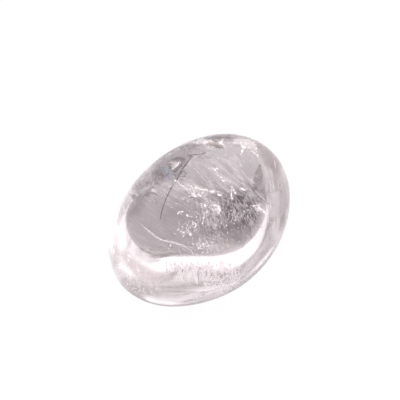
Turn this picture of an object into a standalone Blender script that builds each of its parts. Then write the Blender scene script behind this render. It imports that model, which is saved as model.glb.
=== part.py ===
"""A tumbled stone: one polished pebble of clear, faintly pink quartz, lying on a small worn flat.

Units are metres and +Z is up. The stone's length lies along X and its width along Y.
The origin is under the middle of the stone, on the surface it rests on.
"""

import math

import bmesh
import bpy
from mathutils import Vector

# Outside size of the finished stone
LENGTH = 0.0300
WIDTH = 0.0222

# The widest level splits the stone into a low crown and a deeper belly
CROWN_HEIGHT = 0.0058
BELLY_DEPTH = 0.00887

# Depth of the belly's lowest point that is worn away, which leaves the resting flat
WORN_DEPTH = 0.0005

# Fullness of the curves: 2 is an ellipse, more is squarer, less is more pointed
PLAN_FULLNESS = 2.07
CROWN_FULLNESS = 2.11
BELLY_FULLNESS = 1.905

# How far the belly's lowest point lies from under the middle of the widest level, in length and in width
BELLY_SHIFT_X = 0.00294
BELLY_SHIFT_Y = 0.00127

# Slow waves around the stone that keep it from being a true oval: sides, height as a part of the radius, turn
OUTLINE_WAVES = ((3, 0.0095, 0.62), (4, 0.0072, -0.02))
BELLY_WAVES = ((2, 0.0622, -1.015), (3, 0.0929, 0.254), (4, 0.0478, 0.378), (5, 0.0193, 0.598))

# Faces along one edge of the cube that is blown up into the stone
FACES_ALONG_EDGE = 20

# Polished rose quartz, seen against a white surface
STONE_COLOUR = (0.80, 0.72, 0.75, 1.0)
POLISH_ROUGHNESS = 0.03
QUARTZ_IOR = 1.544


def clear_scene():
    """Remove whatever the scene starts with."""
    for thing in list(bpy.data.objects):
        bpy.data.objects.remove(thing, do_unlink=True)


def quartz_material():
    """Clear polished quartz with a trace of pink."""
    material = bpy.data.materials.new("quartz")
    material.use_nodes = True
    shader = material.node_tree.nodes["Principled BSDF"]
    shader.inputs["Base Color"].default_value = STONE_COLOUR
    shader.inputs["Roughness"].default_value = POLISH_ROUGHNESS
    shader.inputs["Metallic"].default_value = 0.0
    shader.inputs["IOR"].default_value = QUARTZ_IOR
    shader.inputs["Transmission Weight"].default_value = 1.0
    return material


def even_direction(corner):
    """Turn a point on the cube, with sides from -1 to 1, into a direction; directions come out evenly spread."""
    return Vector([math.tan(value * math.pi / 4) for value in corner]).normalized()


def wave_height(waves, angle):
    """The summed height of some waves at this angle around the stone."""
    return sum(height * math.cos(sides * (angle - turn)) for sides, height, turn in waves)


def surface_point(direction):
    """The point of the stone's surface that lies in this direction from the middle of its widest level."""
    steepness = direction.z ** 2
    if direction.z > 0:
        depth, fullness = CROWN_HEIGHT, CROWN_FULLNESS
        along, across = direction.x, direction.y
    else:
        depth, fullness = BELLY_DEPTH, BELLY_FULLNESS
        along = direction.x - BELLY_SHIFT_X * steepness / depth
        across = direction.y - BELLY_SHIFT_Y * steepness / depth
    along /= LENGTH / 2
    across /= WIDTH / 2
    angle = math.atan2(across, along)
    swell = 1 + wave_height(OUTLINE_WAVES, angle)
    if direction.z < 0:
        # Steep and level directions keep the plain outline, and the belly's waves rise between them
        swell += 4 * steepness * (1 - steepness) * wave_height(BELLY_WAVES, angle)
    plan = (abs(along) ** PLAN_FULLNESS + abs(across) ** PLAN_FULLNESS) ** (1 / PLAN_FULLNESS) / swell
    upright = abs(direction.z) / depth
    radius = 1 / (plan ** fullness + upright ** fullness) ** (1 / fullness)
    if direction.z < 0:
        radius = min(radius, (BELLY_DEPTH - WORN_DEPTH) / -direction.z)
    return direction * radius


def settle(mesh):
    """Bring the stone to its exact length and width, centre it, and set its flat on the ground."""
    spans = []
    for axis in range(3):
        values = [vert.co[axis] for vert in mesh.verts]
        spans.append((min(values), max(values)))
    middle_x = sum(spans[0]) / 2
    middle_y = sum(spans[1]) / 2
    bmesh.ops.translate(mesh, verts=mesh.verts, vec=(-middle_x, -middle_y, -spans[2][0]))
    stretch_x = LENGTH / (spans[0][1] - spans[0][0])
    stretch_y = WIDTH / (spans[1][1] - spans[1][0])
    bmesh.ops.scale(mesh, verts=mesh.verts, vec=(stretch_x, stretch_y, 1.0))


def make_stone():
    """The whole stone, one closed solid: a gridded cube blown up to the pebble's rounded shape."""
    mesh = bmesh.new()
    bmesh.ops.create_cube(mesh, size=2.0)
    bmesh.ops.subdivide_edges(mesh, edges=mesh.edges, cuts=FACES_ALONG_EDGE - 1, use_grid_fill=True)
    for vert in mesh.verts:
        vert.co = surface_point(even_direction(vert.co))
    settle(mesh)
    bmesh.ops.recalc_face_normals(mesh, faces=mesh.faces)
    for face in mesh.faces:
        face.smooth = True
    data = bpy.data.meshes.new("stone")
    mesh.to_mesh(data)
    mesh.free()
    stone = bpy.data.objects.new("stone", data)
    stone.data.materials.append(quartz_material())
    bpy.context.scene.collection.objects.link(stone)
    return stone


clear_scene()
make_stone()
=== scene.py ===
"""Looks of the tumbled stone: a polished pebble of clear, faintly pink quartz with cracks and veils inside.

Lengths are in metres unless a name ends in _mm. A place inside the stone is written as the column and row
of the 400 by 400 picture where it shows, and its height in mm above the surface that the stone rests on.
"""

import math
import random

import bmesh
import bpy
from mathutils import Matrix, Vector, noise
from mathutils.bvhtree import BVHTree


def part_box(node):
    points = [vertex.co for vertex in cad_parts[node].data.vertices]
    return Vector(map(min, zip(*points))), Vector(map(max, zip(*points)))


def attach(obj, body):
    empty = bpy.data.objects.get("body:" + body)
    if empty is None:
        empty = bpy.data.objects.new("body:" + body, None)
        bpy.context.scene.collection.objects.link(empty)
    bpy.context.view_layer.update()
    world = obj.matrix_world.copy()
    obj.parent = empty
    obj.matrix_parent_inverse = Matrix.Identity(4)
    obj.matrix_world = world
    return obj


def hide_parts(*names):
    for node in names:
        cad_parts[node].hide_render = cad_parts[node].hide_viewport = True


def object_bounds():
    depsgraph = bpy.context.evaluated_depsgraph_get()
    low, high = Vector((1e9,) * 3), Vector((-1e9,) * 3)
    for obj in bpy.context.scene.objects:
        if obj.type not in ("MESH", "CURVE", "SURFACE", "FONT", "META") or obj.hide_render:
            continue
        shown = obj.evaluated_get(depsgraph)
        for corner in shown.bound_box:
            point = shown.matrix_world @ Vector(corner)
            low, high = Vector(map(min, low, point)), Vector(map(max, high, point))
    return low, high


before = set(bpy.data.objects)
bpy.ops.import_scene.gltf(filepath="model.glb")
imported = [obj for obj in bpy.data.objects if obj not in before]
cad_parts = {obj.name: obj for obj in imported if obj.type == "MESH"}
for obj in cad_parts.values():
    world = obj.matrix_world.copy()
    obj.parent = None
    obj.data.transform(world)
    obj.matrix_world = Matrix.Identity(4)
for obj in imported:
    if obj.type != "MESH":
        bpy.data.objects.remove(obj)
cad_low, cad_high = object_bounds()

MM = 0.001

# The stone's shape, as the CAD has it
LENGTH = 30.0 * MM
WIDTH = 22.2 * MM
CROWN_HEIGHT = 5.8 * MM
BELLY_DEPTH = 8.87 * MM
WORN_DEPTH = 0.5 * MM
PLAN_FULLNESS = 2.07
CROWN_FULLNESS = 2.11
BELLY_FULLNESS = 1.905
BELLY_SHIFT_X = 2.94 * MM
BELLY_SHIFT_Y = 1.27 * MM
OUTLINE_WAVES = ((3, 0.0095, 0.62), (4, 0.0072, -0.02))
BELLY_WAVES = ((2, 0.0622, -1.015), (3, 0.0929, 0.254), (4, 0.0478, 0.378), (5, 0.0193, 0.598))

# How smoothly the worn flat melts into the belly; the finer mesh has no crease there
FLAT_BLEND = 60
FACES_ALONG_EDGE = 110

# Slow, very shallow swells that the tumbling left: size across and height
RIPPLES_MM = ((5, 0.010), (1.8, 0.0015))

QUARTZ_IOR = 1.544

# The camera: a long lens, well above the stone, with the stone's length turned in the picture
PICTURE_SIZE = 400
PIXELS_PER_MM = 7.03
CAMERA_DISTANCE = 0.45
CAMERA_ELEVATION = math.radians(61.45)
STONE_TURN = math.radians(50.1)
SENSOR_WIDTH_MM = 36.0
MIDDLE_COLUMN = 200.86
MIDDLE_ROW = 224.75

picture_right = Vector((math.cos(STONE_TURN), -math.sin(STONE_TURN), 0))
level_away = Vector((math.sin(STONE_TURN), math.cos(STONE_TURN), 0))
to_camera = Vector((0, 0, math.sin(CAMERA_ELEVATION))) - level_away * math.cos(CAMERA_ELEVATION)
picture_up = Vector((0, 0, math.cos(CAMERA_ELEVATION))) + level_away * math.sin(CAMERA_ELEVATION)


def linear(hex_colour):
    """A linear RGB colour, with full alpha, from its sRGB hex value."""
    channels = [int(hex_colour[place:place + 2], 16) / 255 for place in (1, 3, 5)]
    return [c / 12.92 if c <= 0.04045 else ((c + 0.055) / 1.055) ** 2.4 for c in channels] + [1.0]


# Options that nodes share, a range node's sockets, and the places of a mixing node's colours among its own
EASED = {"interpolation_type": "SMOOTHSTEP"}
COLOURS = {"data_type": "RGBA"}
RANGE = ("From Min", "From Max", "To Min", "To Max")
FIRST_COLOUR, SECOND_COLOUR, MIXED_COLOUR = 6, 7, 2


def link(tree, source, socket):
    """Link to a socket from another one, or from a node's first output."""
    tree.links.new(source.outputs[0] if isinstance(source, bpy.types.Node) else source, socket)


def add_node(tree, kind, options=None, values=None, links=None):
    """Add a node, set its options and its sockets' values, and link its inputs."""
    node = tree.nodes.new("ShaderNode" + kind)
    for option, value in (options or {}).items():
        setattr(node, option, value)
    for socket, value in (values or {}).items():
        node.inputs[socket].default_value = value
    for socket, source in (links or {}).items():
        link(tree, source, node.inputs[socket])
    return node


def new_material(name, values):
    """A new material whose shader has these values; gives it with its tree and its shader."""
    material = bpy.data.materials.new(name)
    material.use_nodes = True
    tree = material.node_tree
    shader = tree.nodes["Principled BSDF"]
    for socket, value in values.items():
        shader.inputs[socket].default_value = value
    return material, tree, shader


# The outside of the stone

def even_direction(corner):
    """Turn a point on a cube, with sides from -1 to 1, into a direction, so that they spread evenly."""
    return Vector([math.tan(value * math.pi / 4) for value in corner]).normalized()


def wave_height(waves, angle):
    """The summed height of some waves at this angle around the stone."""
    return sum(height * math.cos(sides * (angle - turn)) for sides, height, turn in waves)


def surface_point(direction):
    """The point of the stone's surface that lies in this direction from the middle of its widest level."""
    steepness = direction.z ** 2
    if direction.z > 0:
        depth, fullness = CROWN_HEIGHT, CROWN_FULLNESS
        along, across = direction.x, direction.y
    else:
        depth, fullness = BELLY_DEPTH, BELLY_FULLNESS
        along = direction.x - BELLY_SHIFT_X * steepness / depth
        across = direction.y - BELLY_SHIFT_Y * steepness / depth
    along /= LENGTH / 2
    across /= WIDTH / 2
    angle = math.atan2(across, along)
    swell = 1 + wave_height(OUTLINE_WAVES, angle)
    if direction.z < 0:
        swell += 4 * steepness * (1 - steepness) * wave_height(BELLY_WAVES, angle)
    plan = (abs(along) ** PLAN_FULLNESS + abs(across) ** PLAN_FULLNESS) ** (1 / PLAN_FULLNESS) / swell
    upright = abs(direction.z) / depth
    radius = 1 / (plan ** fullness + upright ** fullness) ** (1 / fullness)
    if direction.z < 0:
        flat = (BELLY_DEPTH - WORN_DEPTH) / -direction.z
        radius = (radius ** -FLAT_BLEND + flat ** -FLAT_BLEND) ** (-1 / FLAT_BLEND)
    return direction * radius


def ripple(point):
    """How far the tumbled surface stands out here."""
    return sum(height * MM * noise.noise(point / (size * MM)) for size, height in RIPPLES_MM)


def make_polished_stone():
    """The stone's whole outside, fine and smooth enough for the light that bends through it."""
    mesh = bmesh.new()
    bmesh.ops.create_cube(mesh, size=2)
    bmesh.ops.subdivide_edges(mesh, edges=mesh.edges, cuts=FACES_ALONG_EDGE - 1, use_grid_fill=True)
    for vert in mesh.verts:
        direction = even_direction(vert.co)
        point = surface_point(direction)
        vert.co = point + direction * ripple(point)
    low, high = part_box("stone")
    for axis in range(3):
        values = [vert.co[axis] for vert in mesh.verts]
        start = min(values)
        stretch = (high[axis] - low[axis]) / (max(values) - start)
        for vert in mesh.verts:
            vert.co[axis] = low[axis] + (vert.co[axis] - start) * stretch
    return finish_piece("polished_stone", mesh, polished_quartz())


def finish_piece(name, mesh, material, smooth=True):
    """Make a piece from a mesh: one object at the origin that rides on the stone's body."""
    bmesh.ops.recalc_face_normals(mesh, faces=mesh.faces)
    for face in mesh.faces:
        face.smooth = smooth
    data = bpy.data.meshes.new(name)
    mesh.to_mesh(data)
    mesh.free()
    data.materials.append(material)
    piece = bpy.data.objects.new(name, data)
    bpy.context.scene.collection.objects.link(piece)
    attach(piece, "root")
    return piece


def add_part(whole, part):
    """Add a small mesh to the mesh that it belongs to."""
    data = bpy.data.meshes.new("part")
    part.to_mesh(data)
    part.free()
    whole.from_mesh(data)
    bpy.data.meshes.remove(data)


# Lines of sight through the quartz

def make_camera():
    """A long lens at the picture's viewing angle; gives the point that it looks at."""
    data = bpy.data.cameras.new("camera")
    data.sensor_width = SENSOR_WIDTH_MM
    data.lens = SENSOR_WIDTH_MM * CAMERA_DISTANCE / (PICTURE_SIZE / PIXELS_PER_MM * MM)
    data.clip_start = 0.01
    data.clip_end = 20.0
    low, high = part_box("stone")
    half = PICTURE_SIZE / 2
    aim = (low + high) / 2
    aim -= picture_right * ((MIDDLE_COLUMN - half) / PIXELS_PER_MM * MM)
    aim += picture_up * ((MIDDLE_ROW - half) / PIXELS_PER_MM * MM)
    camera = bpy.data.objects.new("camera", data)
    turn = Matrix((picture_right, picture_up, to_camera)).transposed()
    camera.matrix_world = Matrix.Translation(aim + to_camera * CAMERA_DISTANCE) @ turn.to_4x4()
    bpy.context.scene.collection.objects.link(camera)
    bpy.context.scene.camera = camera
    return aim


def bend(direction, normal, ratio):
    """The direction of a ray past a surface that faces it; ratio is the index before over the one after."""
    facing = -direction.dot(normal)
    level = 1 - ratio ** 2 * (1 - facing ** 2)
    return (direction * ratio + normal * (ratio * facing - math.sqrt(max(level, 0)))).normalized()


sight_lines = {}


def sight_line(column, row):
    """The line of sight through this place: its entry, way inside, length, and the normal at the entry."""
    key = (round(column, 1), round(row, 1))
    if key not in sight_lines:
        half = PICTURE_SIZE / 2
        start = camera_aim + to_camera * CAMERA_DISTANCE
        mark = camera_aim + picture_right * ((column - half) / PIXELS_PER_MM * MM)
        mark -= picture_up * ((row - half) / PIXELS_PER_MM * MM)
        direction = (mark - start).normalized()
        entry, normal, _, _ = stone_tree.ray_cast(start, direction)
        if entry is None:
            raise ValueError(f"the stone doesn't show at column {column}, row {row}")
        inside = bend(direction, normal, 1 / QUARTZ_IOR)
        length = stone_tree.ray_cast(entry + inside * 0.01 * MM, inside)[3]
        sight_lines[key] = (entry, inside, length, normal)
    return sight_lines[key]


def shows(column, row):
    """Whether the stone shows at this place in the picture."""
    try:
        sight_line(column, row)
    except ValueError:
        return False
    return True


# Flaws keep this share of the line of sight between them and the surface
MARGIN = 0.05


def seen_at(column, row, height_mm):
    """The point inside the stone that shows here, at this height or as near to it as the stone reaches."""
    entry, inside, length, _ = sight_line(column, row)
    reach = (entry.z - height_mm * MM) / -inside.z
    return entry + inside * min(max(reach, MARGIN * length), (1 - MARGIN) * length)


# The broad back light: how high it stands and how far to the right of straight behind the stone
BACK_LIGHT_ELEVATION = math.radians(38)
BACK_LIGHT_SIDE = math.radians(14)

# Below this cosine between the back light and the surface's normal, that light only grazes the stone there
GRAZING = 0.4


def glint_normal(column, row):
    """The way that a crack below this place faces when it mirrors the back light to the camera."""
    _, inside, _, normal = sight_line(column, row)
    level = level_away * math.cos(BACK_LIGHT_SIDE) + picture_right * math.sin(BACK_LIGHT_SIDE)
    to_light = level * math.cos(BACK_LIGHT_ELEVATION) + Vector((0, 0, math.sin(BACK_LIGHT_ELEVATION)))
    # Where the back light grazes the stone, the crack mirrors the sky between that light and straight out
    if to_light.dot(normal) < GRAZING:
        to_light = (to_light + normal).normalized()
    return (-bend(-to_light, normal, 1 / QUARTZ_IOR) - inside).normalized()


# The stone's middle in the picture, from which angles turn anticlockwise from the right, two distances in
# columns between which the outline lies, and how often their gap is halved to find it
MIDDLE_PLACE = (200, 218)
OUTLINE_BETWEEN = (60, 120)
HALVINGS = 12


def edge_place(angle):
    """The column and row where the outline shows at this angle in degrees."""
    across, up = math.cos(math.radians(angle)), math.sin(math.radians(angle))
    near, far = OUTLINE_BETWEEN
    for _ in range(HALVINGS):
        middle = (near + far) / 2
        if shows(MIDDLE_PLACE[0] + middle * across, MIDDLE_PLACE[1] - middle * up):
            near = middle
        else:
            far = middle
    return MIDDLE_PLACE[0] + near * across, MIDDLE_PLACE[1] - near * up


# Finishes of the flaws

def object_noise(tree, size_mm, stretch=(1, 1, 1), turn=0, detail=3):
    """Noise of this grain size in the stone's own space, drawn out along a level direction."""
    place = add_node(tree, "TexCoord")
    turned = add_node(tree, "VectorRotate", {"rotation_type": "Z_AXIS"}, {"Angle": turn},
                      {"Vector": place.outputs["Object"]})
    drawn = add_node(tree, "Mapping", None, {"Scale": stretch}, {"Vector": turned})
    return add_node(tree, "TexNoise", None, {"Scale": 1 / (size_mm * MM), "Detail": detail},
                    {"Vector": drawn})


def mottle_colour(tree, shader, size_mm, hex_colours):
    """Let the shader's colour drift between two, in spots of this size, and give the noise that does it."""
    grain = object_noise(tree, size_mm)
    first, second = map(linear, hex_colours)
    mixed = add_node(tree, "Mix", COLOURS, {FIRST_COLOUR: first, SECOND_COLOUR: second}, {0: grain})
    link(tree, mixed.outputs[MIXED_COLOUR], shader.inputs["Base Color"])
    return grain


# How rough the polish is at the top and the foot, and at the waist, and the levels between which it changes
WET_POLISH = 0.02
DULL_POLISH = 0.15
FOOT_LEVELS = (0.6 * MM, 2.4 * MM)
TOP_LEVELS = (9.0 * MM, 11.0 * MM)

# Pinprick pits in the polish: one in each cell of this size, and how wide and deep they look
PIT_SPACING_MM = 2.381
PIT_RADIUS_MM = 0.083
PIT_DEPTH_MM = 0.02
PIT_STRENGTH = 0.25

# How strongly a metre of the quartz drinks the light, so that the pink deepens where the stone is thick
BODY_DENSITY = 3.0


def polished_quartz():
    """Clear quartz, tumbled to a wet-looking polish: the eye sees glass with a breath of pink."""
    material, tree, shader = new_material("polished_quartz", {
        "Base Color": linear("#fff6f9"), "IOR": QUARTZ_IOR, "Transmission Weight": 1.0})
    # The stone's waist, which rubbed against the other stones, is a little duller than its top and its foot
    place = add_node(tree, "TexCoord")
    level = add_node(tree, "SeparateXYZ", links={"Vector": place.outputs["Object"]})
    above_foot = add_node(tree, "MapRange", EASED, dict(zip(RANGE, FOOT_LEVELS)),
                          {"Value": level.outputs["Z"]})
    waist = add_node(tree, "MapRange", EASED, dict(zip(RANGE, (*TOP_LEVELS, 1, 0))),
                     {"Value": level.outputs["Z"], "To Min": above_foot})
    polish = add_node(tree, "MapRange", EASED, dict(zip(RANGE, (0, 1, WET_POLISH, DULL_POLISH))),
                      {"Value": waist})
    link(tree, polish, shader.inputs["Roughness"])
    pits = add_node(tree, "TexVoronoi", None, {"Scale": 1 / (PIT_SPACING_MM * MM)},
                    {"Vector": place.outputs["Object"]})
    hollow = add_node(tree, "MapRange", EASED, {"From Max": PIT_RADIUS_MM / PIT_SPACING_MM},
                      {"Value": pits.outputs["Distance"]})
    bump = add_node(tree, "Bump", None, {"Strength": PIT_STRENGTH, "Distance": PIT_DEPTH_MM * MM},
                    {"Height": hollow})
    link(tree, bump, shader.inputs["Normal"])
    body = add_node(tree, "VolumeAbsorption", None, {"Color": linear("#f6eced"), "Density": BODY_DENSITY})
    link(tree, body, tree.nodes["Material Output"].inputs["Volume"])
    return material


def silver_crack(name, rough):
    """Air in an open crack or a hollow tube: the eye sees it mirror light like slightly uneven silver."""
    material, tree, shader = new_material(name, {"Metallic": 1.0})
    grain = mottle_colour(tree, shader, 0.3, ("#f4eef0", "#ffffff"))
    uneven = add_node(tree, "MapRange", EASED, dict(zip(RANGE, (0.3, 0.7, rough, rough + 0.15))),
                      {"Value": grain})
    link(tree, uneven, shader.inputs["Roughness"])
    return material


def crack_shade(name, hex_colours, size_mm, noise_range, alpha_range):
    """The dull edge of a crack: the eye sees a dark line against the light behind, see-through in places."""
    material, tree, shader = new_material(name, {"Roughness": 0.5})
    grain = mottle_colour(tree, shader, size_mm, hex_colours)
    body = add_node(tree, "MapRange", EASED, dict(zip(RANGE, noise_range + alpha_range)), {"Value": grain})
    link(tree, body, shader.inputs["Alpha"])
    return material


# A film's colour drifts over spots this many times as large as its wisps, which end over this much noise
TINT_SPREAD = 2.5
WISP_EDGE = 0.22


def film_material(name, hex_colours, strength, size_mm, threshold, stretch=(1, 1, 1), turn=0.0,
                  metallic=0, rough=0.5):
    """Tiny bubbles in a healed crack: the eye sees wisps with clear gaps, which fade towards the edges."""
    material, tree, shader = new_material(name, {"Metallic": metallic, "Roughness": rough})
    mottle_colour(tree, shader, size_mm * TINT_SPREAD, hex_colours)
    wisps = object_noise(tree, size_mm, stretch, turn, detail=5)
    body = add_node(tree, "MapRange", EASED,
                    dict(zip(RANGE, (threshold, threshold + WISP_EDGE, 0, strength))), {"Value": wisps})
    place = add_node(tree, "TexCoord")
    inwards = add_node(tree, "SeparateXYZ", links={"Vector": place.outputs["UV"]})
    fade = add_node(tree, "MapRange", EASED, links={"Value": inwards.outputs["X"], "To Max": body})
    link(tree, fade, shader.inputs["Alpha"])
    return material


# Shapes of the flaws

def smooth_path(marks, steps_between=4, closed=False):
    """A smooth run of places through the marks."""
    count = len(marks)
    path = []
    for index in range(count if closed else count - 1):
        if closed:
            a, b, c, d = (marks[(index + shift) % count] for shift in (-1, 0, 1, 2))
        else:
            a, b, c, d = (marks[min(max(index + shift, 0), count - 1)] for shift in (-1, 0, 1, 2))
        for step in range(steps_between):
            t = step / steps_between
            path.append([0.5 * (2 * q + (r - p) * t + (2 * p - 5 * q + 4 * r - s) * t ** 2
                                + (3 * q - p - 3 * r + s) * t ** 3) for p, q, r, s in zip(a, b, c, d)])
    if not closed:
        path.append(list(marks[-1]))
    return path


def ring_edges(ring):
    """The edges that join a ring's own verts."""
    inside = set(ring)
    return {edge for vert in ring for edge in vert.link_edges if edge.other_vert(vert) in inside}


# How quickly threads and chains narrow towards their ends, and how wide a thread's very tip still is
TAPER = 0.6
TIP_SHARE = 0.15


def add_thread(whole, width_mm, height_mm, marks, flatness=0.1, lean=0, steps_between=4):
    """Add one fine closed thread along the marks, pointed at both ends; a flat one faces the back light."""
    mesh = bmesh.new()
    places = smooth_path(marks, steps_between)
    points = [seen_at(column, row, height_mm) for column, row in places]
    last = len(points) - 1
    rings = []
    for index, (point, (column, row)) in enumerate(zip(points, places)):
        along = (points[min(index + 1, last)] - points[max(index - 1, 0)]).normalized()
        facing = Matrix.Rotation(lean, 3, along) @ glint_normal(column, row)
        side = along.cross(facing).normalized()
        turn = Matrix((side, side.cross(along), along)).transposed().to_4x4()
        size = width_mm * MM / 2 * max(math.sin(math.pi * index / last), TIP_SHARE) ** TAPER
        shape = Matrix.Diagonal((size, size * flatness, size, 1))
        ring = bmesh.ops.create_circle(mesh, segments=5, radius=1.0,
                                       matrix=Matrix.Translation(point) @ turn @ shape)
        rings.append(ring["verts"])
    for near, far in zip(rings, rings[1:]):
        bmesh.ops.bridge_loops(mesh, edges=list(ring_edges(near) | ring_edges(far)))
    for ring in (rings[0], rings[-1]):
        bmesh.ops.contextual_create(mesh, geom=ring)
    add_part(whole, mesh)


# A flake is this many times as wide as it is thick
FLAKE_THINNESS = 20


def add_flake(whole, column, row, height_mm, length_mm, width_mm, turn, lean, roll):
    """Add a thin flake: its length turned in the picture, its face tilted off the back light, in degrees."""
    normal = glint_normal(column, row)
    angle = math.radians(turn)
    along = picture_right * math.cos(angle) + level_away * math.sin(angle)
    along = (along - normal * along.dot(normal)).normalized()
    side = normal.cross(along)
    tilt = Matrix.Rotation(math.radians(lean), 3, along) @ Matrix.Rotation(math.radians(roll), 3, side)
    facing = Matrix((tilt @ along, tilt @ side, tilt @ normal)).transposed().to_4x4()
    shape = Matrix.Diagonal((length_mm * MM / 2, width_mm * MM / 2, width_mm * MM / FLAKE_THINNESS, 1))
    mesh = bmesh.new()
    bmesh.ops.create_cone(mesh, cap_ends=True, segments=7, radius1=1, radius2=0.8, depth=1.0,
                          matrix=Matrix.Translation(seen_at(column, row, height_mm)) @ facing @ shape)
    add_part(whole, mesh)


def add_chain(whole, draw, marks, width_mm, height_mm, broken):
    """Add flakes along the marks, like the steps of an open crack, with this share of them broken off."""
    path = smooth_path(marks, 8)
    last = len(path) - 1
    for index in range(1, last):
        (column, row), (next_column, next_row) = path[index], path[index + 1]
        if draw.random() < broken:
            continue
        turn = math.degrees(math.atan2(row - next_row, next_column - column)) + draw.gauss(0, 60 * broken)
        width = width_mm * math.sin(math.pi * index / last) ** TAPER * draw.uniform(1 - broken, 1 + broken)
        # Each flake is 2.4 steps long, so that it covers its neighbours' ends
        length = max(width, 2.4 * math.hypot(next_column - column, next_row - row) / PIXELS_PER_MM)
        add_flake(whole, column + draw.gauss(0, broken), row + draw.gauss(0, broken), height_mm, length,
                  width, turn, draw.gauss(0, 2), draw.gauss(0, 2))


def set_fade(mesh, closeness):
    """Write on each corner how far in from the edge it lies, from 0 to 1."""
    layer = mesh.loops.layers.uv.new("fade")
    for face in mesh.faces:
        for loop in face.loops:
            loop[layer].uv = (closeness(loop.vert), 0.5)


# Sheets lean towards the back light: they lie this much higher with each row down the picture
RISE_PER_ROW_MM = 0.017

# How many steps a film has each way, and a band along and across, and the size of a film's crumples
FILM_STEPS = 36
BAND_STEPS = (60, 10)
CRUMPLE_SIZE_MM = 0.9


def add_film(whole, corners, height_mm, rise_mm, crumple_mm, seed):
    """Add a thin, nearly level sheet between four corners, in a page's order, that bulges and crumples."""
    mesh = bmesh.new()
    bmesh.ops.create_grid(mesh, x_segments=FILM_STEPS, y_segments=FILM_STEPS, size=0.5)
    closeness = {}
    offset = Vector((seed * 3.1, seed * 1.7, seed * 2.3))
    for vert in mesh.verts:
        u, v = vert.co.x + 0.5, 0.5 - vert.co.y
        top = [a * (1 - u) + b * u for a, b in zip(corners[0], corners[1])]
        bottom = [a * (1 - u) + b * u for a, b in zip(corners[2], corners[3])]
        column, row = (a * (1 - v) + b * v for a, b in zip(top, bottom))
        # It fades over a quarter of its size at each side, and the bulge is highest in its middle
        closeness[vert.index] = min(1, 4 * min(u, 1 - u, v, 1 - v))
        lean_mm = (row - corners[0][1]) * RISE_PER_ROW_MM
        point = seen_at(column, row, height_mm + lean_mm + rise_mm * 16 * u * (1 - u) * v * (1 - v))
        crumple = noise.noise_vector(point / (CRUMPLE_SIZE_MM * MM) + offset)
        vert.co = point + crumple * (crumple_mm * MM)
    set_fade(mesh, lambda vert: closeness[vert.index])
    add_part(whole, mesh)


def add_band(whole, angles, inner, outer, height_mm):
    """Add a thin sheet along the outline between two angles; its sides lie at shares of the way out."""
    along, across = BAND_STEPS
    mesh = bmesh.new()
    bmesh.ops.create_grid(mesh, x_segments=along, y_segments=across, size=0.5)
    edge = [edge_place(angles[0] + (angles[1] - angles[0]) * step / along) for step in range(along + 1)]
    closeness = {}
    for vert in mesh.verts:
        u, v = vert.co.x + 0.5, vert.co.y + 0.5
        near, far = (side[0] + (side[1] - side[0]) * u for side in (inner, outer))
        share = near + (far - near) * v
        place = [middle + (end - middle) * share for middle, end in zip(MIDDLE_PLACE, edge[round(u * along)])]
        # It fades over a fifth of its length at each end, and over two fifths of its width at each side
        closeness[vert.index] = min(1, 5 * min(u, 1 - u), 2.5 * min(v, 1 - v))
        vert.co = seen_at(*place, height_mm)
    set_fade(mesh, lambda vert: closeness[vert.index])
    add_part(whole, mesh)


def add_plate(whole, height_mm, outline, soft_mm=0.22):
    """Add a thin plate with this outline, whose edge is soft over this width."""
    mesh = bmesh.new()
    points = [seen_at(column, row, height_mm + (row - outline[0][1]) * RISE_PER_ROW_MM)
              for column, row in smooth_path(outline, 3, closed=True)]
    face = mesh.faces.new([mesh.verts.new(point) for point in points])
    mesh.normal_update()
    bmesh.ops.inset_region(mesh, faces=[face], thickness=soft_mm * MM, use_even_offset=True,
                           use_boundary=True)
    middle = set(face.verts)
    set_fade(mesh, lambda vert: 1.0 if vert in middle else 0)
    bmesh.ops.triangulate(mesh, faces=[face for face in mesh.faces if len(face.verts) > 4])
    add_part(whole, mesh)


def make_piece(add, name, forms, material, *more):
    """Make one piece of many forms; each form lists what its adding function asks for, in that order."""
    mesh = bmesh.new()
    for form in forms:
        add(mesh, *form, *more)
    return finish_piece(name, mesh, material)


# The middle of the stone, where the eye looks straight through the belly to the floor
WINDOW_EDGE = (
    (131, 200), (125, 215), (124, 225), (127, 237), (140, 250), (150, 256), (175, 258), (225, 254),
    (243, 247), (253, 240), (262, 226), (266, 217), (266, 190), (263, 172), (255, 158), (245, 147),
    (213, 149), (200, 157), (172, 158), (152, 171),
)


def within(outline, column, row):
    """Whether this place is inside: a line to its left crosses the outline an odd number of times."""
    inside = False
    for (x, y), (next_x, next_y) in zip(outline, outline[1:] + outline[:1]):
        if (y > row) != (next_y > row) and column > x + (row - y) / (next_y - y) * (next_x - x):
            inside = not inside
    return inside


def add_patch(whole, draw, outline, height_mm, count):
    """Fill an outline with small flakes that face the back light, like a crack that is shattered."""
    columns, rows = zip(*outline)
    while count:
        place = draw.uniform(min(columns), max(columns)), draw.uniform(min(rows), max(rows))
        if within(outline, *place):
            add_flake(whole, *place, height_mm + draw.uniform(-0.1, 0.1), draw.uniform(0.2, 0.5),
                      draw.uniform(0.1, 0.26), draw.uniform(-90, 90), draw.gauss(0, 6), draw.gauss(0, 6))
            count -= 1


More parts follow.
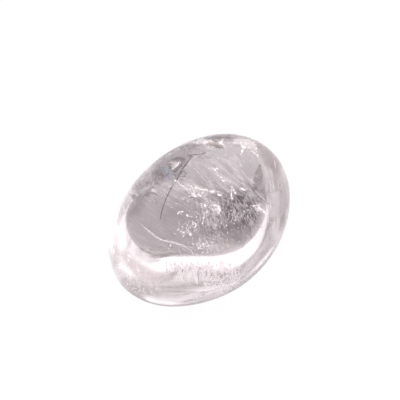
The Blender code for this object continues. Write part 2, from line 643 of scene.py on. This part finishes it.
def make_silk():
    """Hair-fine hollow tubes that give the quartz its silk; each group lies one way in the picture."""
    groups = (
        # count, column and row ranges, height range, length range, turn, spread, width range
        (150, (128, 262), (150, 258), (7, 11), (6, 22), -36, 5, (0.02, 0.05)),
        (50, (196, 240), (150, 196), (8, 11), (5, 16), -50, 5, (0.03, 0.07)),
        (60, (165, 215), (176, 206), (8, 11), (8, 22), -34, 4, (0.03, 0.08)),
        (70, (196, 226), (200, 252), (8, 11), (5, 14), -76, 8, (0.03, 0.08)),
        (50, (224, 264), (176, 208), (8, 11), (6, 22), -37, 8, (0.03, 0.07)),
    )
    draw = random.Random(11)
    mesh = bmesh.new()
    for count, columns, rows, heights, lengths, turn, spread, widths in groups:
        made = 0
        while made < count:
            column, row = draw.uniform(*columns), draw.uniform(*rows)
            angle = math.radians(turn + draw.gauss(0, spread))
            reach = draw.uniform(*lengths) / 2
            ends = [(column + sign * reach * math.cos(angle), row - sign * reach * math.sin(angle))
                    for sign in (-1, 1)]
            if all(within(WINDOW_EDGE, *end) for end in ends):
                marks = (ends[0], (column, row), ends[1])
                add_thread(mesh, draw.uniform(*widths), draw.uniform(*heights), marks, flatness=1.0,
                           steps_between=1)
                made += 1
    return finish_piece("silk", mesh, silver_crack("silk_tube", 0.25))


def make_glints():
    """The bright flakes of the broken veil across the middle, one by one, then the fine dust between them."""
    # column, row, length and width in mm, turn
    spots = (
        (178, 213.5, 0.34, 0.16, 60), (179.6, 212, 0.40, 0.16, 20), (182.2, 211.6, 0.36, 0.15, 5),
        (180.9, 213.9, 0.22, 0.12, -60), (187.2, 215.4, 0.46, 0.18, -60), (190.2, 234.3, 0.46, 0.30, -50),
        (181, 231.2, 0.26, 0.14, -40), (178.9, 229.2, 0.22, 0.12, -40), (183.4, 236, 0.40, 0.09, 55),
        (205, 205.3, 0.62, 0.24, -80), (206.2, 201.6, 0.30, 0.12, 40), (206.9, 211.5, 0.50, 0.20, 80),
        (203.8, 217.8, 0.44, 0.16, 60), (202.4, 223.2, 0.38, 0.18, 70), (193.2, 243.9, 0.30, 0.14, -40),
        (197, 245, 0.24, 0.14, 0), (198.6, 248.1, 0.32, 0.12, -60), (203.2, 244.2, 0.42, 0.14, -80),
        (202.4, 252.4, 0.34, 0.16, -50), (196.6, 216.8, 0.30, 0.10, 70), (206, 190, 0.62, 0.22, -20),
        (212.2, 191.7, 0.60, 0.26, 0), (219.3, 195, 0.52, 0.22, 10), (231.5, 194.6, 0.62, 0.16, 88),
        (232.3, 198.6, 0.30, 0.14, 88), (235.2, 193, 0.28, 0.24, 0), (233.6, 189.8, 0.50, 0.16, -60),
        (232.2, 187.2, 0.30, 0.12, -30), (242.8, 189, 0.62, 0.22, -35), (175.2, 180.8, 0.30, 0.18, -40),
        (170.6, 245.4, 0.30, 0.20, 50), (169, 248.2, 0.24, 0.10, 50), (147.5, 249.3, 0.32, 0.10, 60),
        (164.5, 184.2, 0.14, 0.12, 0), (243, 147, 0.55, 0.22, 60), (241.8, 151, 0.42, 0.22, 80),
        (217, 168.5, 0.40, 0.14, -45), (222.6, 180.6, 0.55, 0.16, -50), (215, 170.6, 0.30, 0.10, -60),
        (196, 187.6, 0.62, 0.20, -25), (199.6, 195.2, 0.60, 0.18, -30), (256.6, 207, 0.62, 0.34, -20),
        (260, 208.6, 0.62, 0.30, -35), (263.4, 211.6, 0.50, 0.16, -45),
    )
    draw = random.Random(3)
    mesh = bmesh.new()
    # The spots are drawn a little larger than listed, because their tapered rims hardly show
    for column, row, length_mm, width_mm, turn in spots:
        add_flake(mesh, column, row, 11, length_mm * 1.1, width_mm * 1.2, turn,
                  draw.gauss(0, 3), draw.gauss(0, 3))
    # A bright hook right of the middle and a small ring below the middle, thinner at its lower left:
    # middle column and row, and reach across and down
    hook_column, hook_row, hook_wide, hook_high = 216, 209.4, 4.2, 4.4
    ring_column, ring_row, ring_wide, ring_high = 194, 225, 2.1, 2.3
    for part in range(11):
        bow = math.radians(115 - part * 15)
        add_flake(mesh, hook_column + hook_wide * math.cos(bow), hook_row - hook_high * math.sin(bow), 10.8,
                  0.36, 0.14, 30 - part * 12, draw.gauss(0, 5), draw.gauss(0, 5))
    for part in range(12):
        around = part / 12 * 2 * math.pi
        size = 0.30 if math.cos(around - 0.7) > -0.2 else 0.16
        add_flake(mesh, ring_column + ring_wide * math.cos(around), ring_row - ring_high * math.sin(around),
                  10.8, size, size * 0.55, math.degrees(around) + 90, draw.gauss(0, 5), draw.gauss(0, 5))
    # Dust: middle column and row, spread across and down, count
    clusters = (
        (186, 229, 10, 9, 90), (200, 247, 12, 6, 70), (207, 209, 9, 9, 80), (217, 209, 7, 7, 50),
        (203, 192, 18, 5, 60), (226, 184, 12, 14, 50), (243, 211, 20, 11, 110), (232, 216, 14, 9, 60),
        (213, 230, 16, 22, 90), (240, 158, 20, 14, 40), (160, 182, 22, 16, 40), (198, 218, 12, 12, 60),
        (188, 200, 26, 12, 60), (258, 208, 8, 4, 30), (222, 240, 20, 10, 50),
    )
    for column, row, wide, high, count in clusters:
        places = [(draw.gauss(column, wide / 2), draw.gauss(row, high / 2)) for _ in range(count)]
        for place in places:
            if within(WINDOW_EDGE, *place):
                add_flake(mesh, *place, draw.uniform(9.8, 11), draw.uniform(0.08, 0.28),
                          draw.uniform(0.05, 0.14), draw.uniform(-90, 90), draw.gauss(0, 12),
                          draw.gauss(0, 12))
    # Fine upright streaks below the middle and at the right, and specks at the lower left and along the top:
    # columns, rows, lengths and widths in mm, spread of the turn, count
    streaks = (
        ((166, 236), (262, 272), (0.3, 0.9), (0.08, 0.22), 20, 200),
        ((176, 212), (268, 280), (0.3, 1), (0.05, 0.14), 16, 60),
        ((204, 240), (266, 290), (0.15, 0.6), (0.06, 0.16), 34, 360),
        ((267, 282), (164, 226), (0.8, 2.4), (0.02, 0.05), 5, 34),
        ((126, 162), (276, 293), (0.2, 0.8), (0.05, 0.14), 40, 90),
        ((116, 150), (246, 286), (0.08, 0.28), (0.06, 0.14), 90, 60),
        ((196, 256), (139, 148), (0.1, 0.4), (0.05, 0.14), 60, 40),
    )
    for columns, rows, lengths, widths, spread, count in streaks:
        places = [(draw.uniform(*columns), draw.uniform(*rows)) for _ in range(count)]
        for place in places:
            if shows(*place):
                add_flake(mesh, *place, draw.uniform(9.4, 10.6), draw.uniform(*lengths),
                          draw.uniform(*widths), draw.gauss(-86, spread), draw.gauss(0, 2), draw.gauss(0, 2))
    return finish_piece("glints", mesh, silver_crack("bright_flake", 0.1), smooth=False)


def make_bright_lines():
    """The light lines where cracks turn their edge to the back light."""
    runs = (
        (0.34, 7, ((141, 224), (145, 228), (151, 233), (157, 237.4), (163, 240), (170, 241.8), (178, 243.6),
                     (186, 247), (191, 250.6), (195, 256))),
        (0.06, 10.6, ((213, 167), (217, 173), (223, 181), (229, 186), (234, 191.5))),
        (0.09, 10.6, ((199, 157), (206, 166), (213, 172), (221, 183))),
        (0.10, 10.4, ((166, 202.5), (171, 204.8), (177, 207.6))),
        (0.09, 10.6, ((178, 222), (181, 227.6))),
        (0.09, 10.6, ((230, 175), (239, 181.6), (249, 189), (258, 196.5), (266, 203.5))),
        (0.08, 10.6, ((240, 168), (248, 179), (256, 190.5))),
        (0.12, 10.6, ((255, 191), (259.5, 184.5), (263.5, 176.5))),
        (0.10, 10.6, ((256.5, 192), (261.5, 197.5), (266, 201))),
        (0.14, 10.2, ((177.5, 247), (180, 252), (181.5, 257))),
        (0.12, 10.2, ((189.5, 248.6), (192.5, 253.5), (195, 257.5))),
        (0.14, 10.4, ((233.8, 206.5), (233.4, 212), (232.4, 217), (235.6, 221), (234.4, 213), (234.2, 207))),
    )
    return make_piece(add_thread, "bright_lines", runs, silver_crack("bright_line", 0.2))


def make_dark_lines():
    """The long curved crack, and the finer ones, which the camera sees edge on."""
    runs = (
        (0.22, 10.7, ((194.2, 155), (190, 159), (185.6, 164.6), (181, 171.6), (177, 179.6),
                      (175.4, 182))),
        (0.17, 10.6, ((177, 179), (173.6, 184.4), (169.6, 191.4), (166.4, 198), (164.8, 202))),
        (0.15, 10.5, ((167.2, 196.4), (163.8, 205), (161.4, 213), (160.2, 219.5))),
        (0.10, 10.2, ((247, 220), (249.4, 229), (250.6, 235), (252.6, 241))),
        (0.12, 10.7, ((251, 189), (259, 197), (267, 202.6), (274, 205.4))),
        (0.12, 10.6, ((141, 199), (147, 193.4), (154, 193), (158, 196))),
        (0.16, 10.7, ((186, 156.4), (193, 154.4), (200, 154), (206, 152.8))),
        (0.16, 10.7, ((168, 161), (174, 158.2), (181, 157.6), (186, 160.6))),
        (0.14, 10.7, ((152.6, 178), (153.4, 172), (157.6, 169.8), (162, 171))),
        (0.12, 10.7, ((153.4, 178), (157, 182.6), (161, 186))),
    )
    edge = crack_shade("crack_edge", ("#4a3f47", "#83777e"), 0.5, (0.3, 0.6), (0.3, 0.7))
    return make_piece(add_thread, "dark_lines", runs, edge)


def make_feathers():
    """Feathery fractures, the largest right of the middle: short dark and bright blades across each other."""
    draw = random.Random(17)
    dark = bmesh.new()
    bright = bmesh.new()
    # column and row ranges, turn and its spread, count of dark and bright blades
    groups = (
        ((222, 238), (199, 216), -80, 12, 50, 50), ((236, 258), (198, 224), -72, 20, 56, 90),
        ((240, 256), (182, 200), -50, 20, 26, 8),
        ((212, 226), (196, 206), -20, 20, 10, 20), ((250, 264), (190, 204), -40, 12, 10, 24),
        ((206, 222), (208, 226), -80, 10, 10, 60), ((240, 262), (212, 228), -66, 24, 16, 40),
        ((154, 188), (156, 182), -45, 50, 60, 44), ((184, 212), (146, 158), -20, 30, 30, 16),
        ((200, 232), (139, 148), -10, 30, 14, 30), ((134, 158), (176, 204), -45, 40, 34, 20),
    )
    for columns, rows, turn, spread, dark_count, bright_count in groups:
        for whole, count, width in ((dark, dark_count, 0.12), (bright, bright_count, 0.09)):
            for _ in range(count):
                column, row = draw.uniform(*columns), draw.uniform(*rows)
                angle = math.radians(turn + draw.gauss(0, spread))
                reach = draw.uniform(1.5, 4.5)
                step = (reach * math.cos(angle), -reach * math.sin(angle))
                bow = draw.uniform(-1, 1)
                marks = ((column - step[0], row - step[1]), (column + bow, row + bow * 0.5),
                         (column + step[0], row + step[1]))
                if all(shows(*mark) for mark in marks):
                    add_thread(whole, width * draw.uniform(0.5, 1.2), draw.uniform(9, 10.6), marks,
                               lean=draw.uniform(-0.35, 0.35), steps_between=2)
    shade = crack_shade("feather_shade", ("#564850", "#857680"), 0.6, (0.35, 0.6), (0.1, 0.42))
    finish_piece("dark_feathers", dark, shade)
    finish_piece("bright_feathers", bright, silver_crack("bright_feather", 0.25))


def make_veils():
    """Healed fractures: sheets of tiny bubbles, some pale and some dark against the light behind them, and
    bands of painted shade along the rim.
    """
    # Satiny streaks along the stone's width, where rows of fine tubes shine together
    along_width = (1, 0.08, 1)
    white = ("#f2ebee", "#ffffff")
    silk = film_material("silk_veil", white, 0.38, 0.4, 0.40, along_width, 0, 1, 0.3)
    silk_sheets = (
        (((166, 176), (216, 184), (166, 200), (218, 206)), 9.6, 0.2, 0.04, 1),
        (((228, 172), (262, 176), (232, 196), (262, 204)), 9.8, 0.2, 0.04, 3),
        (((204, 172), (236, 174), (206, 198), (238, 198)), 9.9, 0.2, 0.04, 2),
    )
    make_piece(add_film, "silk_veils", silk_sheets, silk)
    # A smooth pale haze along the window's lower edge and in the right rim, like breath on glass
    haze = film_material("pale_haze", ("#f6f0f2", "#ffffff"), 0.5, 1.2, 0.1, metallic=1, rough=0.35)
    haze_sheets = ((((196, 232), (256, 222), (202, 268), (250, 258)), 9.4, 0, 0.02, 18),)
    haze_bands = (((-2, 22), (0.74, 0.74), (0.95, 0.95), 10.2),)
    make_piece(add_film, "pale_hazes", haze_sheets, haze)
    make_piece(add_band, "rim_hazes", haze_bands, haze)
    # Steeper and upright streaks of the same tubes
    steep = film_material("steep_veil", white, 0.26, 0.45, 0.40, along_width, 0.24, 1, 0.3)
    steep_sheets = ((((200, 152), (246, 152), (200, 190), (254, 188)), 9.8, 0.2, 0.04, 4),)
    make_piece(add_film, "steep_veils", steep_sheets, steep)
    upright = film_material("upright_veil", white, 0.4, 0.22, 0.44, along_width, 0.66, 1, 0.3)
    upright_sheets = (
        (((198, 204), (228, 204), (198, 232), (228, 230)), 9.8, 0.1, 0.06, 5),
        (((196, 228), (222, 228), (198, 254), (224, 254)), 9.6, 0.1, 0.04, 6),
    )
    make_piece(add_film, "upright_veils", upright_sheets, upright)
    # Clouds of bubbles that the back light strikes: cotton white
    cloud = film_material("bright_cloud", ("#fbf6f2", "#ffffff"), 0.5, 0.32, 0.46, metallic=1, rough=0.25)
    cloud_sheets = (
        (((184, 186), (208, 187), (190, 198), (214, 199)), 10.2, 0.1, 0.10, 7),
        (((198, 201), (222, 200), (196, 219), (222, 218)), 10.2, 0.1, 0.12, 8),
        (((194, 236), (208, 236), (196, 250), (212, 250)), 9.8, 0.1, 0.10, 10),
    )
    make_piece(add_film, "bright_clouds", cloud_sheets, cloud)
    # Bubbles that the eye sees against the light: smoky patches
    shade = film_material("dark_veil", ("#5a4a52", "#80717a"), 0.42, 0.6, 0.25)
    shade_sheets = (
        (((212, 192), (264, 184), (214, 222), (262, 226)), 9.4, -0.2, 0.10, 13),
        (((222, 198), (242, 198), (224, 218), (242, 218)), 9.3, 0, 0.10, 14),
        (((190, 206), (262, 202), (196, 246), (248, 248)), 9.2, 0, 0.06, 15),
        (((232, 182), (266, 186), (234, 230), (262, 230)), 9, 0, 0.06, 17),
        (((162, 160), (192, 148), (156, 186), (184, 180)), 9.6, 0, 0.06, 16),
        (((236, 178), (258, 182), (238, 202), (260, 202)), 9.2, 0, 0.06, 19),
    )
    make_piece(add_film, "dark_veils", shade_sheets, shade)
    # Painted shade: thin milky bands along the outline that take the glare off the rim and darken it
    soft = film_material("painted_rim_shade", ("#cfc4c8", "#e6dde0"), 0.5, 0.9, 0.25, rough=0.9)
    painted_shade_bands = (
        ((92, 168), (0.74, 0.84), (0.995, 0.995), 10.4), ((188, 212), (0.86, 0.88), (0.995, 0.995), 10.4),
        ((-10, -66), (0.84, 0.91), (0.95, 0.995), 10.4), ((160, 190), (0.88, 0.88), (0.995, 0.995), 10.4),
    )
    make_piece(add_band, "painted_rim_shades", painted_shade_bands, soft)
    # Painted shade: smoky bands that darken the rim behind the cluster at the upper left, and along the top,
    # close to the belly
    smoke = film_material("smoky_painted_shade", ("#6a5b61", "#908187"), 0.42, 0.7, 0.22, rough=0.8)
    painted_shade_rim_bands = (
        ((84, 186), (0.70, 0.66), (0.98, 0.97), 10.2), ((62, 136), (0.90, 0.84), (0.995, 0.99), 3),
    )
    make_piece(add_band, "smoky_painted_shades", painted_shade_rim_bands, smoke)
    # Faint level streaks of a warm grey, low in the front
    warm = film_material("warm_veil", ("#a8978f", "#cbbdb6"), 0.4, 0.5, 0.38, along_width, -0.70, rough=0.8)
    warm_bands = (((232, 278), (0.70, 0.72), (0.93, 0.92), 10),)
    make_piece(add_band, "warm_veils", warm_bands, warm)
    # Milky mottles, faintly pink, in the lower left
    mottle = film_material("mottle", ("#f0e2e4", "#fff6f4"), 0.7, 0.8, 0.22, rough=0.9)
    mottle_bands = (((196, 250), (0.80, 0.52), (0.99, 0.73), 10.5),)
    make_piece(add_band, "mottles", mottle_bands, mottle)


def make_plates_of_cracks():
    """Open cracks that show as whole shapes: leaves on the right, a cluster at the upper left, and more."""
    # Cracks that turn the light away: grey leaves
    dark = film_material("dark_leaf", ("#66545b", "#85767c"), 0.5, 0.4, 0.3)
    soft_leaves = (
        (10.4, ((260, 163), (263, 171), (264, 179), (261.6, 186), (257, 191), (253, 186),
                (252.6, 175))),
        (10.4, ((262.6, 186), (266.6, 190), (266.8, 201), (261.4, 196.5), (258.6, 191.6))),
    )
    make_piece(add_plate, "soft_leaves", soft_leaves, dark, 0.32)
    dark_leaves = (
        (10.6, ((154.4, 172), (158, 170.4), (163, 173), (166, 178), (162, 180), (158, 183), (155, 179))),
        (10.6, ((171, 160.6), (173.4, 158.4), (177, 157.2), (182, 157.4), (185.4, 160.6), (184, 163),
                (180.4, 160.6), (175, 160.8))),
        (10.6, ((178.6, 164.4), (184, 162.6), (181.4, 168), (176.6, 172), (173.6, 172.4), (175.6, 168.6))),
        (10.6, ((168.6, 166), (171.4, 166.6), (172.6, 169.6), (170.4, 169.4))),
        (10.6, ((145, 181.6), (149, 180.6), (149.6, 184), (146, 185.2))),
        (10.6, ((187, 154.6), (193, 153.8), (192, 157.8), (187, 158))),
        (10.6, ((201, 152.6), (206, 151.8), (205, 154.6), (201, 155))),
        (10.6, ((209, 144.6), (216, 143.8), (222, 146), (224, 149), (215, 148))),
    )
    make_piece(add_plate, "dark_leaves", dark_leaves, dark)
    # Cracks that mirror the sky: cream white plates
    pale = film_material("pale_plate", ("#e9dedd", "#fbf6f2"), 0.65, 0.5, 0.1, metallic=1, rough=0.3)
    pale_plates = (
        (10.7, ((166.6, 163.4), (170, 161.8), (178.4, 161.6), (177.6, 164.6), (173.6, 169), (171.6, 167.6),
                (172, 165))),
        (10.7, ((150.6, 191.8), (151.6, 188.4), (154.6, 188.6), (157.6, 192), (156, 193.4))),
        (10.7, ((245, 139), (251, 140.4), (257, 149.6), (255, 151.4), (249, 146))),
        (10.7, ((195, 141.6), (203, 139.8), (212, 139.6), (213, 142.4), (204, 144.4), (197, 144))),
    )
    make_piece(add_plate, "pale_plates", pale_plates, pale)
    # Open cracks whose steps turn to the back light: width, height, how broken, and marks from tip to tip
    cracks = (
        (0.24, 10.6, 0.3, ((250.6, 205.6), (256, 206.4), (260.6, 208.6), (264.2, 211.8), (266, 214.6))),
        (0.24, 10.8, 0.4, ((211.6, 205.2), (216, 205.2), (219, 208.4), (220, 213.6))),
        (0.18, 10.8, 0.4, ((214, 208.6), (217, 210.4), (219.4, 214.8))),
        (0.30, 10.6, 0.4, ((218.6, 141.6), (221.4, 143), (223.6, 145.4))),
        (0.36, 10.6, 0.4, ((243.6, 148.4), (241.8, 150.6), (241.2, 154.4))),
        (0.26, 10.6, 0.4, ((240.6, 145.6), (244, 147.4), (247.4, 149.4))),
        (0.30, 10.6, 0.1, ((179.2, 161.4), (177.4, 164.8), (173.6, 168), (171, 169.6))),
        (0.95, 10, 0, ((193.4, 266), (194.6, 271), (196, 277), (197.4, 284))),
        (0.75, 10, 0, ((178.6, 265), (179.8, 270), (181, 275), (182.4, 281))),
        (0.55, 10, 0, ((203.4, 266), (203.8, 270), (203.8, 275), (203.4, 279))),
        (0.55, 10, 0.1, ((194, 299), (204, 295), (214, 291), (224, 287.4), (234, 283), (240, 279))),
        (0.18, 10.8, 0.5, ((189, 185.6), (196, 188.4), (201, 189), (208.6, 191.8))),
        (0.22, 10.8, 0.3, ((209, 191.2), (212, 191), (215.4, 192.4))),
        (0.20, 10.8, 0.3, ((216.6, 194.2), (219.4, 195), (222.4, 195.6))),
        (0.24, 10.8, 0.5, ((212.4, 167.4), (215.6, 169.8), (219.4, 168.6))),
        (0.14, 10.8, 0.6, ((215.4, 170.4), (221, 178), (225, 183.4))),
        (0.22, 10.8, 0.4, ((230.6, 185.6), (233.6, 190.4), (236, 195))),
        (0.20, 10.8, 0.4, ((232.6, 188.6), (231.4, 194), (232.6, 201))),
        (0.28, 10.8, 0.3, ((240.2, 187.8), (243, 189.2), (246, 190.8))),
        (0.12, 10.8, 0.1, ((174.6, 179.4), (182, 185.6), (192.6, 192.6))),
        (0.12, 10.8, 0.5, ((191, 193), (197, 195.4), (204, 195.8))),
    )
    draw = random.Random(23)
    mesh = bmesh.new()
    for width_mm, height_mm, broken, marks in cracks:
        add_chain(mesh, draw, marks, width_mm, height_mm, broken)
    # Shattered spots: the blade right of the feathers, the top's cream patch, the pale wedge beside it, and a
    # few flakes left of the middle; each is its height, count and outline
    patches = (
        (10.6, 45, ((253.4, 205.4), (257, 204.6), (260.6, 206.6), (264.6, 211.4), (265, 214.2), (260, 211.6),
                    (256, 209.8))),
        (10.9, 50, ((196, 142), (203, 140), (212, 139.8), (213.4, 142.2), (204, 143.6), (197, 144))),
        (10.4, 46, ((243, 139.8), (251, 140.8), (256, 147), (258, 157), (250, 149.6))),
        (10.8, 8, ((190, 191), (206, 192), (206, 199), (192, 198))),
    )
    for height_mm, count, outline in patches:
        add_patch(mesh, draw, outline, height_mm, count)
    finish_piece("open_cracks", mesh, silver_crack("open_crack", 0.1), smooth=False)
    # Films of air so thin that they take a colour of their own, as oil does on water: teal, and steel blue
    teal = film_material("thin_film", ("#87a3a3", "#8f99ac"), 0.6, 0.5, 0, metallic=1, rough=0.3)
    teal_plates = (
        (10.8, ((160, 167), (164, 166.4), (168.6, 167), (170, 170.4), (168, 174.2), (165, 175),
                (161.6, 171))),
    )
    make_piece(add_plate, "thin_films", teal_plates, teal)
    blue = film_material("blue_film", ("#7f879c", "#98a0b2"), 0.7, 0.6, 0, metallic=1, rough=0.3)
    blue_plates = (
        (10.7, ((166, 174.6), (170.6, 173), (172.4, 178), (168.4, 180.4))),
        (10.7, ((130.6, 196), (134, 193.6), (137, 195.6), (133.6, 200.4))),
    )
    make_piece(add_plate, "blue_films", blue_plates, blue)
    # Rust that seeped into a crack: a faint orange stain
    rust = film_material("iron_stain", ("#cf9c7a", "#e3bd9a"), 0.36, 0.3, 0.2, rough=0.6)
    rust_plates = (
        (10.9, ((203, 143.2), (209, 142.2), (216, 142.8), (221, 144), (224, 146.4), (216, 145.4),
                (209, 144.6))),
        (10.4, ((222, 240.6), (225, 240), (227, 244), (225, 246))),
    )
    make_piece(add_plate, "iron_stains", rust_plates, rust, 0.1)


def make_flaws():
    """Everything inside the quartz."""
    make_silk()
    make_glints()
    make_bright_lines()
    make_dark_lines()
    make_feathers()
    make_veils()
    make_plates_of_cracks()


# The stage

# Under the stone a shadow of the stone and its flaws is painted into the card's colour: its colours there and
# outside, and where it changes, as shares of the way to the stone's outline
PAINTED_SHADOW_TINT = ("#cecece", "#f9f9f9")
PAINTED_SHADOW_BETWEEN = (0.68, 1.38)

# How much of the card, as the camera sees it, is a flood of light that hides soft shadows, and how bright
FLOOD = 0.95
FLOOD_LIGHT = 1.02

# How far the card reaches, and how far it lies below the stone
CARD_REACH = 1.5
CARD_GAP = 0.02 * MM


def make_floor():
    """A plain white card, with a painted shadow under the stone, so brightly lit that the camera sees hardly
    a shadow on it.
    """
    mesh = bmesh.new()
    bmesh.ops.create_grid(mesh, x_segments=1, y_segments=1, size=CARD_REACH)
    bmesh.ops.translate(mesh, verts=mesh.verts, vec=(0, 0, cad_low.z - CARD_GAP))
    data = bpy.data.meshes.new("floor")
    mesh.to_mesh(data)
    mesh.free()
    floor = bpy.data.objects.new("floor", data)
    # Matt white card, with a painted shadow darkening its colour under the stone: the eye sees an even paper
    # white
    material, tree, shader = new_material("white_card_painted_shadow", {"Roughness": 0.9, "Specular IOR Level": 0.2})
    place = add_node(tree, "TexCoord")
    outline = add_node(tree, "Mapping", None, {"Scale": (2 / LENGTH, 2 / WIDTH, 0)},
                       {"Vector": place.outputs["Object"]})
    from_middle = add_node(tree, "VectorMath", {"operation": "LENGTH"}, links={0: outline})
    lit = add_node(tree, "MapRange", EASED, dict(zip(RANGE, PAINTED_SHADOW_BETWEEN)),
                   {"Value": from_middle.outputs["Value"]})
    # Painted shadow: the card's colour is darker under the stone and white outside it
    dim, bright = map(linear, PAINTED_SHADOW_TINT)
    tint = add_node(tree, "Mix", COLOURS, {FIRST_COLOUR: dim, SECOND_COLOUR: bright}, {0: lit})
    link(tree, tint.outputs[MIXED_COLOUR], shader.inputs["Base Color"])
    white = add_node(tree, "Emission", None, {"Color": (1, 1, 1, 1), "Strength": FLOOD_LIGHT})
    sight = add_node(tree, "LightPath")
    share = add_node(tree, "Math", {"operation": "MULTIPLY"}, {1: FLOOD}, {0: sight.outputs["Is Camera Ray"]})
    both = add_node(tree, "MixShader", links={0: share, 1: shader, 2: white})
    link(tree, both, tree.nodes["Material Output"].inputs["Surface"])
    data.materials.append(material)
    bpy.context.scene.collection.objects.link(floor)


# Soft studio light: a pale dome, dimmer on the camera's side, with one broad bright panel behind the stone.
# The panel's middle lies right of straight back; it comes up and fades between these heights, and fades at
# its sides, all in degrees
DOME_LIGHT = 1.1
DOME_FRONT = 1.0
FRONT_BETWEEN = (-0.1, 0.4)
PANEL_LIGHT = 0.55
PANEL_MIDDLE = 18.0
PANEL_LOW = (6, 26)
PANEL_HIGH = (47, 58)
PANEL_SIDE = (54, 72)


def make_light():
    """The dome and its panel, drawn in the world behind everything."""
    world = bpy.data.worlds.new("studio")
    bpy.context.scene.world = world
    world.use_nodes = True
    tree = world.node_tree
    place = add_node(tree, "TexCoord")
    turned = add_node(tree, "VectorRotate", {"rotation_type": "Z_AXIS"}, {"Angle": STONE_TURN},
                      {"Vector": place.outputs["Generated"]})
    parts = add_node(tree, "SeparateXYZ", links={"Vector": turned})
    height = add_node(tree, "Math", {"operation": "ARCSINE"}, links={0: parts.outputs["Z"]})
    around = add_node(tree, "Math", {"operation": "ARCTAN2"},
                      links={0: parts.outputs["X"], 1: parts.outputs["Y"]})
    sideways = add_node(tree, "Math", {"operation": "SUBTRACT"}, {1: math.radians(PANEL_MIDDLE)},
                        {0: around})
    aside = add_node(tree, "Math", {"operation": "ABSOLUTE"}, links={0: sideways})
    panel = add_node(tree, "MapRange", EASED,
                     dict(zip(RANGE, (*map(math.radians, PANEL_LOW), 0, PANEL_LIGHT))), {"Value": height})
    # What the panel has at this height fades to nothing above it, and then at its sides
    for angle, ends in ((height, PANEL_HIGH), (aside, PANEL_SIDE)):
        panel = add_node(tree, "MapRange", EASED, dict(zip(RANGE, (*map(math.radians, ends), 0, 0))),
                         {"Value": angle, "To Min": panel})
    dome = add_node(tree, "MapRange", EASED, dict(zip(RANGE, (*FRONT_BETWEEN, DOME_FRONT, DOME_LIGHT))),
                    {"Value": parts.outputs["Y"]})
    light = add_node(tree, "Math", {"operation": "ADD"}, links={0: panel, 1: dome})
    background = tree.nodes["Background"]
    background.inputs["Color"].default_value = (1, 1, 1, 1)
    link(tree, light, background.inputs["Strength"])


# How often light may turn inside the stone before it comes out, and how many see-through films it may cross
TURNS = 48
FILMS_CROSSED = 64


def let_light_through():
    """Let light go its long way through the stone."""
    cycles = bpy.context.scene.cycles
    cycles.max_bounces = TURNS
    cycles.glossy_bounces = TURNS
    cycles.transmission_bounces = TURNS
    cycles.transparent_max_bounces = FILMS_CROSSED
    bpy.context.scene.view_settings.view_transform = "Standard"


stone = make_polished_stone()
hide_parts("stone")
stone_mesh = bmesh.new()
stone_mesh.from_mesh(stone.data)
stone_tree = BVHTree.FromBMesh(stone_mesh)
stone_mesh.free()
camera_aim = make_camera()
make_flaws()
make_floor()
make_light()
let_light_through()
